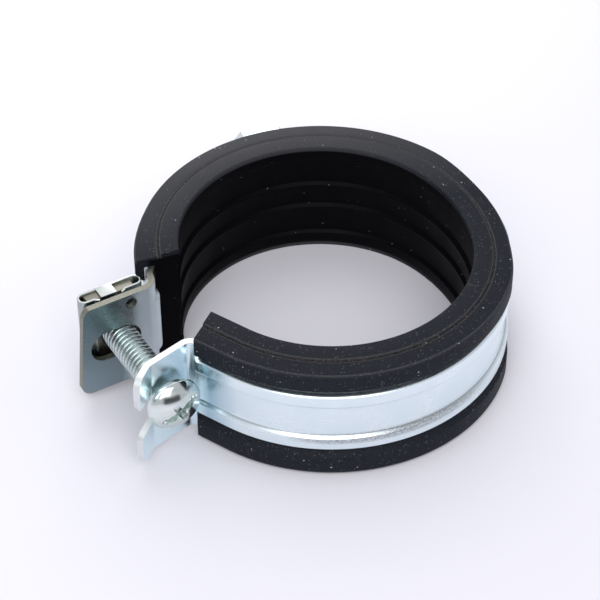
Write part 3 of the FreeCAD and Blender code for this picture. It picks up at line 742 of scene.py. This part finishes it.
def build_grain():
    """Fine: small even grain. Patches: soft cloudy areas."""
    inputs = {"Vector": None, "Grain Scale": 4000.0, "Patch Scale": 120.0}
    group, taken, given = make_group("grain_and_patches", inputs, ("Fine", "Patches"))
    fine = noise_node(group, taken.outputs["Vector"], taken.outputs["Grain Scale"], 3.0, 0.6)
    patches = noise_node(group, taken.outputs["Vector"], taken.outputs["Patch Scale"], 3.0, 0.55)
    group.links.new(fine, given.inputs["Fine"])
    group.links.new(patches, given.inputs["Patches"])
    return group


def build_dust():
    """Specks: small dots in some of the cells of a Voronoi pattern, each at its cell's middle."""
    inputs = {"Vector": None, "Scale": 700.0, "Size": 0.12, "Share": 0.3}
    group, taken, given = make_group("dust_specks", inputs, ("Specks",))
    cells = group.nodes.new("ShaderNodeTexVoronoi")
    group.links.new(taken.outputs["Vector"], cells.inputs["Vector"])
    group.links.new(taken.outputs["Scale"], cells.inputs["Scale"])
    colour = group.nodes.new("ShaderNodeSeparateColor")
    group.links.new(cells.outputs["Color"], colour.inputs["Color"])
    chosen = math_node(group, "LESS_THAN", colour.outputs["Red"], taken.outputs["Share"])
    radius = math_node(group, "MULTIPLY", colour.outputs["Green"], taken.outputs["Size"])
    near = math_node(group, "LESS_THAN", cells.outputs["Distance"], radius)
    group.links.new(math_node(group, "MULTIPLY", chosen, near), given.inputs["Specks"])
    return group


def build_lines():
    """Lines: streaks that are long in the first direction of the given coordinates."""
    inputs = {"Vector": None, "Long": 60.0, "Fine": 2500.0}
    group, taken, given = make_group("drawn_lines", inputs, ("Lines",))
    split = split_vector(group, taken.outputs["Vector"])
    join = group.nodes.new("ShaderNodeCombineXYZ")
    for axis, scale in (("X", "Long"), ("Y", "Fine"), ("Z", "Fine")):
        scaled = math_node(group, "MULTIPLY", split[axis], taken.outputs[scale])
        group.links.new(scaled, join.inputs[axis])
    group.links.new(noise_node(group, join.outputs[0], 1.0, 3.0, 0.65), given.inputs["Lines"])
    return group


GRAIN, DUST, LINES = build_grain(), build_dust(), build_lines()
print("groups:", [g.name for g in (GRAIN, DUST, LINES)])


# %% Material helpers
def new_material(name, metallic=0.0):
    """A material with a Principled BSDF and Object coordinates."""
    material = bpy.data.materials.new(name)
    material.use_nodes = True
    tree = material.node_tree
    shader = tree.nodes["Principled BSDF"]
    shader.inputs["Metallic"].default_value = metallic
    coordinates = tree.nodes.new("ShaderNodeTexCoord").outputs["Object"]
    return material, tree, shader, coordinates


def use_group(tree, group, vector, **values):
    """A shader group placed in a material with its own values."""
    node = tree.nodes.new("ShaderNodeGroup")
    node.node_tree = group
    tree.links.new(vector, node.inputs["Vector"])
    for label, number in values.items():
        node.inputs[label.replace("_", " ")].default_value = number
    return node


def mix_colours(tree, share, first, second):
    """The first colour where the share is 0, the second where it is 1."""
    node = tree.nodes.new("ShaderNodeMix")
    node.data_type = "RGBA"
    tree.links.new(share, node.inputs["Factor"])
    for label, colour in ((6, first), (7, second)):
        if isinstance(colour, tuple):
            node.inputs[label].default_value = colour + (1.0,)
        else:
            tree.links.new(colour, node.inputs[label])
    return node.outputs[2]


def bump_node(tree, shader, height, distance, strength):
    """Fine relief in the shader's normals from a height."""
    node = tree.nodes.new("ShaderNodeBump")
    node.inputs["Distance"].default_value = distance
    node.inputs["Strength"].default_value = strength
    tree.links.new(height, node.inputs["Height"])
    tree.links.new(node.outputs["Normal"], shader.inputs["Normal"])


def product(tree, first, *others):
    """All the values multiplied."""
    for value in others:
        first = math_node(tree, "MULTIPLY", first, value)
    return first


def near_value(tree, value, at, half_width):
    """1 where the value is `at`, falling evenly to 0 at half_width on both sides."""
    off = math_node(tree, "ABSOLUTE", math_node(tree, "SUBTRACT", value, at))
    return math_node(tree, "SUBTRACT", 1.0, math_node(tree, "DIVIDE", off, half_width), clamp=True)


def own_map(tree, name):
    """A mesh's own map, as a vector."""
    uv = tree.nodes.new("ShaderNodeUVMap")
    uv.uv_map = name
    return uv.outputs["UV"]


def dress(thing, material):
    """The material as the only one of a piece."""
    thing.data.materials.clear()
    thing.data.materials.append(material)
    print(thing.name, "is made of", material.name)


# %% [markdown]
# ## Rubber
# Black rubber, a little blue and matt. The inner walls are painted almost black, darker than the
# same rubber outside, as painted shade inside the ring. The outside is dusty: fine specks lie on it,
# a brown dust settles in the groove, and the edges of the groove and of the lips carry a painted
# highlight. The back half's top is greyer, partly with dust and partly with a painted sheen, and
# painted shade darkens its groove and outer rim.
# Dust could be painted on an image. The profile's map does without one: it says which face and
# which edge a point is on, and the noise only breaks the borders up.

# %% Rubber material
TOP_FROM, TOP_TO, OUTSIDE_FROM, OUTSIDE_TO = 11.2, 11.6, 31.0, 32.0
BACK_FROM, BACK_TO, BACK_SHARE = 4 * MM, 30 * MM, 0.85
GROOVE_AT, GROOVE_HALF, GROOVE_RIM_HALF = TOP_LAND + TOP_GROOVE / 2, 0.7, 0.17
LIP_RIM_AT, LIP_RIM_HALF = LINING_OUT - 0.2, 0.24
SHADE_AT, SHADE_HALF, SHADE_OUT = TOP_LAND + 0.45, 0.8, LINING_OUT - 0.7
# The inner wall's tone is painted shade. The back half's tone is dust with a painted sheen, the shade tone
# is painted shade, and the edge tone is a painted highlight.
SHADED_WALL_TONE, DARK_TONE, LIGHT_TONE = (0.0010, 0.0010, 0.0018), (0.008, 0.009, 0.013), (0.023, 0.026, 0.034)
BACK_DUST_AND_SHEEN_TONE, SHADE_TONE, EDGE_HIGHLIGHT_TONE = (0.060, 0.060, 0.064), (0.012, 0.012, 0.016), (0.085, 0.085, 0.088)
FINE_DUST, BROWN_DUST, WHITE_DUST = (0.068, 0.069, 0.073), (0.110, 0.095, 0.075), (0.42, 0.42, 0.41)


def rubber_material():
    """Rubber over the profile's map of radius and height."""
    material, tree, shader, spot = new_material("black_rubber")
    radius, height, _ = split_vector(tree, own_map(tree, "across_profile"))
    grain = use_group(tree, GRAIN, spot, Grain_Scale=5200.0, Patch_Scale=160.0)
    fine, patches = grain.outputs["Fine"], grain.outputs["Patches"]
    fine_dust = use_group(tree, DUST, spot, Scale=2200.0, Size=0.36, Share=0.42).outputs["Specks"]
    white_dust = use_group(tree, DUST, spot, Scale=1100.0, Size=0.16, Share=0.20).outputs["Specks"]

    on_top = range_node(tree, math_node(tree, "ABSOLUTE", height), TOP_FROM, TOP_TO)
    outside = math_node(tree, "MAXIMUM", on_top, range_node(tree, radius, OUTSIDE_FROM, OUTSIDE_TO))
    further_back = range_node(tree, split_vector(tree, spot)["Y"], BACK_FROM, BACK_TO, 0.0, BACK_SHARE)
    # Dust with a painted sheen on the back half's top. The shaded mask paints shade in its groove and outer
    # rim there.
    back_dust_and_sheen = product(tree, on_top, further_back)
    shaded = math_node(tree, "MAXIMUM", near_value(tree, radius, SHADE_AT, SHADE_HALF),
                       range_node(tree, radius, SHADE_OUT, LIP_RIM_AT, 0.0, 0.7))
    # Painted highlight along the groove's two edges and the lip's outer edge.
    edge_highlight = math_node(tree, "MAXIMUM", near_value(tree, radius, TOP_LAND, GROOVE_RIM_HALF),
                       near_value(tree, radius, TOP_LAND + TOP_GROOVE, GROOVE_RIM_HALF))
    edge_highlight = math_node(tree, "MAXIMUM", edge_highlight, near_value(tree, radius, LIP_RIM_AT, LIP_RIM_HALF))
    edge_highlight = product(tree, edge_highlight, on_top, range_node(tree, fine, 0.35, 0.62, 0.35, 1.0), 0.8)
    settled = product(tree, near_value(tree, radius, GROOVE_AT, GROOVE_HALF), on_top,
                      range_node(tree, fine, 0.48, 0.66), 0.7)
    white = product(tree, white_dust, range_node(tree, outside, 0.0, 1.0, 0.25, 1.0))

    tone = mix_colours(tree, range_node(tree, fine, 0.36, 0.66), DARK_TONE, LIGHT_TONE)
    # Painted shade: the inner walls get a far darker tone than the same rubber outside.
    tone = mix_colours(tree, outside, SHADED_WALL_TONE, tone)
    tone = mix_colours(tree, back_dust_and_sheen, tone, BACK_DUST_AND_SHEEN_TONE)
    tone = mix_colours(tree, product(tree, shaded, back_dust_and_sheen), tone, SHADE_TONE)
    tone = mix_colours(tree, product(tree, fine_dust, outside), tone, FINE_DUST)
    tone = mix_colours(tree, settled, tone, BROWN_DUST)
    tone = mix_colours(tree, edge_highlight, tone, EDGE_HIGHLIGHT_TONE)
    tree.links.new(mix_colours(tree, white, tone, WHITE_DUST), shader.inputs["Base Color"])
    tree.links.new(range_node(tree, patches, 0.3, 0.7, 0.44, 0.56), shader.inputs["Roughness"])
    shader.inputs["Specular IOR Level"].default_value = 0.06
    bump_node(tree, shader, fine, 0.00003, 0.5)
    return material


dress(lining, rubber_material())

# %% [markdown]
# ## Zinc
# Bright zinc over steel is a soft mirror with a cold, faintly blue-green tint. Fine lines and
# patches make the plating a little uneven. The nut plate is plain and brownish. Metal of one tint
# and one roughness looks painted, so both follow the same pattern of patches and lines, and one
# function makes the five metals from two tints and two roughnesses each.

# %% Zinc materials
def zinc_material(name, dark, light, smooth_rough, dull_rough):
    """A plated metal between two tints and two roughnesses, with patches and fine lines."""
    material, tree, shader, spot = new_material(name, metallic=1.0)
    grain = use_group(tree, GRAIN, spot, Grain_Scale=3200.0, Patch_Scale=140.0)
    lines = use_group(tree, LINES, spot, Long=120.0, Fine=900.0)
    blend = math_node(tree, "ADD", product(tree, grain.outputs["Patches"], 0.6),
                      product(tree, lines.outputs["Lines"], 0.4))
    tint = mix_colours(tree, range_node(tree, blend, 0.38, 0.62), dark, light)
    tree.links.new(tint, shader.inputs["Base Color"])
    tree.links.new(range_node(tree, blend, 0.35, 0.65, smooth_rough, dull_rough), shader.inputs["Roughness"])
    height = math_node(tree, "ADD", grain.outputs["Fine"], lines.outputs["Lines"])
    bump_node(tree, shader, height, 0.000012, 0.8)
    return material


dress(nut, zinc_material("zinc_on_nut", (0.50, 0.58, 0.56), (0.62, 0.69, 0.66), 0.22, 0.34))
dress(thread, zinc_material("zinc_on_thread", (0.44, 0.52, 0.51), (0.60, 0.66, 0.65), 0.14, 0.24))
dress(head, zinc_material("zinc_on_screw", (0.58, 0.65, 0.64), (0.76, 0.81, 0.79), 0.12, 0.22))
dress(plate, zinc_material("steel_of_plate", (0.16, 0.15, 0.12), (0.24, 0.23, 0.19), 0.28, 0.42))
dress(cage, zinc_material("bright_sheet", (0.30, 0.33, 0.32), (0.46, 0.49, 0.47), 0.16, 0.28))

# %% [markdown]
# The strip's own map holds the way along it and the place across it. With it the plating carries a
# painted dark reflection on the rear ear and a painted darker, bluer reflection beside the fork. It
# has painted shade along the steps, is grey and grainy on a part of the lower bead, and is dull on
# the cut edges. Object coordinates couldn't do this, because the strip turns through the whole ring.

# %% Strip material
# Of these tints, the one beside the fork and the two on the rear ear are painted reflections, and the one in
# the steps is painted shade.
STRIP_TINTS = (0.78, 0.89, 0.93), (0.86, 0.94, 0.97)
BESIDE_FORK_REFLECTION_TINT, FORK_TINT = (0.47, 0.65, 0.74), (0.78, 0.92, 0.97)
LOW_EAR_REFLECTION_TINT, HIGH_EAR_REFLECTION_TINT = (0.17, 0.24, 0.27), (0.09, 0.15, 0.16)
STEP_SHADE_TINT, BEAD_TINT, BEND_TINT = (0.22, 0.27, 0.30), (0.34, 0.36, 0.37), (0.40, 0.40, 0.36)
CUT_TINTS, FORK_CUT_TINT = ((0.20, 0.20, 0.165), (0.33, 0.33, 0.28)), (0.74, 0.77, 0.77)
EAR_REFLECTION_TO, EAR_REFLECTION_GONE, EAR_REFLECTION_SHARE = 9.5, 13.5, 0.85
GREY_AT, GREY_HALF, GREY_SHARE = -4.0, 1.2, 0.85
GREY_FROM, GREY_FULL, GREY_LAST, GREY_GONE = RING_STOP - np.array([62.0, 46.0, 26.0, 18.0])
TIP_SKIN, SIDE_SKIN = (0.06, 0.02), (0.05, 0.02)


def strip_material():
    """Plated steel over the strip's map, with fine lines from rolling along it."""
    material, tree, shader, spot = new_material("zinc_on_strip", metallic=1.0)
    strip_map = own_map(tree, "along_strip")
    along, across, _ = split_vector(tree, strip_map)
    grain = use_group(tree, GRAIN, spot, Grain_Scale=3200.0, Patch_Scale=140.0)
    fine, patches = grain.outputs["Fine"], grain.outputs["Patches"]
    lines = use_group(tree, LINES, strip_map, Long=0.05, Fine=5.0).outputs["Lines"]
    blend = math_node(tree, "ADD", product(tree, patches, 0.7), product(tree, lines, 0.3))
    away = math_node(tree, "ABSOLUTE", across)

    def over(start, end):
        """0 at the start and 1 at the end of a stretch along the strip, and beyond them."""
        return range_node(tree, along, start, end)

    # Painted dark reflection on the rear ear, fading out along the strip.
    lean = math_node(tree, "ADD", along, product(tree, across, 0.05))
    lean = math_node(tree, "ADD", lean, product(tree, patches, 3.0))
    ear_reflection = range_node(tree, lean, EAR_REFLECTION_TO, EAR_REFLECTION_GONE, EAR_REFLECTION_SHARE, 0.0)
    ear_reflection_tint = mix_colours(tree, range_node(tree, across, -6.0, 5.0), LOW_EAR_REFLECTION_TINT, HIGH_EAR_REFLECTION_TINT)
    # Painted shade along the steps between the web and the beads.
    step_shade = product(tree, near_value(tree, away, WEB_HALF + 0.05, 0.28), 0.6,
                      over(RING_START + 2.0, RING_START + 4.0), over(RING_STOP, RING_STOP - 1.0))
    grey_bead = product(tree, near_value(tree, across, GREY_AT, GREY_HALF),
                        over(GREY_GONE, GREY_LAST), over(GREY_FROM, GREY_FULL))
    grey_bead = product(tree, math_node(tree, "MULTIPLY", grey_bead, 2.0, clamp=True), GREY_SHARE,
                        range_node(tree, fine, 0.36, 0.60, 0.35, 1.0))
    bend = product(tree, over(RING_START - 0.4, RING_START + 0.4),
                   over(RING_START + 9.0, RING_START + 3.0), 0.5)
    ends = math_node(tree, "MAXIMUM", over(*TIP_SKIN), over(way[-1] - TIP_SKIN[0], way[-1] - TIP_SKIN[1]))
    sides = range_node(tree, away, HALF_WIDTH - SIDE_SKIN[0], HALF_WIDTH - SIDE_SKIN[1])
    edge = math_node(tree, "MAXIMUM", ends, sides)
    matt = product(tree, over(9.0, 13.0), over(RING_START + 2.0, RING_START))

    tint = mix_colours(tree, range_node(tree, blend, 0.36, 0.64), *STRIP_TINTS)
    # Painted darker, bluer reflection on the ring beside the fork.
    tint = mix_colours(tree, over(RING_STOP - 9.0, RING_STOP - 3.0), tint, BESIDE_FORK_REFLECTION_TINT)
    tint = mix_colours(tree, over(RING_STOP - 2.8, RING_STOP - 1.0), tint, FORK_TINT)
    tint = mix_colours(tree, ear_reflection, tint, ear_reflection_tint)
    tint = mix_colours(tree, step_shade, tint, STEP_SHADE_TINT)
    tint = mix_colours(tree, grey_bead, tint, BEAD_TINT)
    tint = mix_colours(tree, bend, tint, BEND_TINT)
    cut = mix_colours(tree, range_node(tree, fine, 0.35, 0.65), *CUT_TINTS)
    cut = mix_colours(tree, over(RING_STOP - 2.0, RING_STOP), cut, FORK_CUT_TINT)
    tree.links.new(mix_colours(tree, edge, tint, cut), shader.inputs["Base Color"])
    dull = product(tree, math_node(tree, "MAXIMUM", edge, matt), 0.5)
    rough = math_node(tree, "MAXIMUM", range_node(tree, blend, 0.35, 0.65, 0.20, 0.30), dull)
    tree.links.new(rough, shader.inputs["Roughness"])
    bump_node(tree, shader, math_node(tree, "ADD", fine, lines), 0.000010, 0.5)
    return material


dress(band, strip_material())

# %% [markdown]
# ## Table and light
# The clamp lies on a pale table under soft studio light. Metal shows what stands round it, so the
# lamps are large: one hangs behind and above, another fills from the front, and a small one lies
# low behind. The world gives the rest. A dark card stands in front, out of the camera's sight, and
# shows in the dome of the screw's head, which would look flat without a dark part.

# %% Table
FLOOR = cad_box[0].z / MM
TABLE_REACH = 3000


def flat_sheet(name, corners):
    """One four-cornered face through its corners."""
    return add_mesh(name, np.array(corners, float), np.array([[0, 1, 2, 3]]))


def plain_paint(name, colour, rough, gloss):
    """A material that is the same all over."""
    material, _, shader, _ = new_material(name)
    shader.inputs["Base Color"].default_value = colour + (1.0,)
    shader.inputs["Roughness"].default_value = rough
    shader.inputs["Specular IOR Level"].default_value = gloss
    return material


table = flat_sheet("table", [(-TABLE_REACH, -TABLE_REACH, FLOOR), (TABLE_REACH, -TABLE_REACH, FLOOR),
                             (TABLE_REACH, TABLE_REACH, FLOOR), (-TABLE_REACH, TABLE_REACH, FLOOR)])
dress(table, plain_paint("pale_table", (0.82, 0.81, 0.86), 0.7, 0.2))

# %% Dark card in front
CARD_LEFT, CARD_RIGHT, CARD_Y, CARD_LOW, CARD_HIGH = -220, 620, -900, FLOOR + 5, 300
card = flat_sheet("dark_card", [(CARD_LEFT, CARD_Y, CARD_LOW), (CARD_RIGHT, CARD_Y, CARD_LOW),
                                (CARD_RIGHT, CARD_Y, CARD_HIGH), (CARD_LEFT, CARD_Y, CARD_HIGH)])
card.visible_camera = False
dress(card, plain_paint("dark_card", (0.03, 0.03, 0.03), 0.8, 0.5))

# %% Lamps and world
def soft_lamp(name, place, aim, size, watts, colour=(1.0, 1.0, 1.0)):
    """A square area lamp at a place in metres that faces an aim point."""
    lamp = bpy.data.lights.new(name, "AREA")
    lamp.size = size
    lamp.energy = watts
    lamp.color = colour
    thing = bpy.data.objects.new(name, lamp)
    thing.location = place
    thing.rotation_euler = (Vector(aim) - Vector(place)).to_track_quat("-Z", "Y").to_euler()
    bpy.context.scene.collection.objects.link(thing)
    print(name, watts, "W")


soft_lamp("back_softbox", (0.05, 0.50, 0.70), (0, 0, 0), 0.7, 1.6, (0.97, 0.98, 1.0))
soft_lamp("front_softbox", (-0.15, -0.50, 0.55), (0, 0, 0), 0.6, 3.0)
soft_lamp("low_back_panel", (0.0, 0.19, 0.06), (0, 0, 0.02), 0.12, 0.12)

world = bpy.data.worlds.new("studio")
bpy.context.scene.world = world
world.use_nodes = True
world.node_tree.nodes["Background"].inputs["Color"].default_value = (0.94, 0.94, 1.0, 1.0)
world.node_tree.nodes["Background"].inputs["Strength"].default_value = 0.70
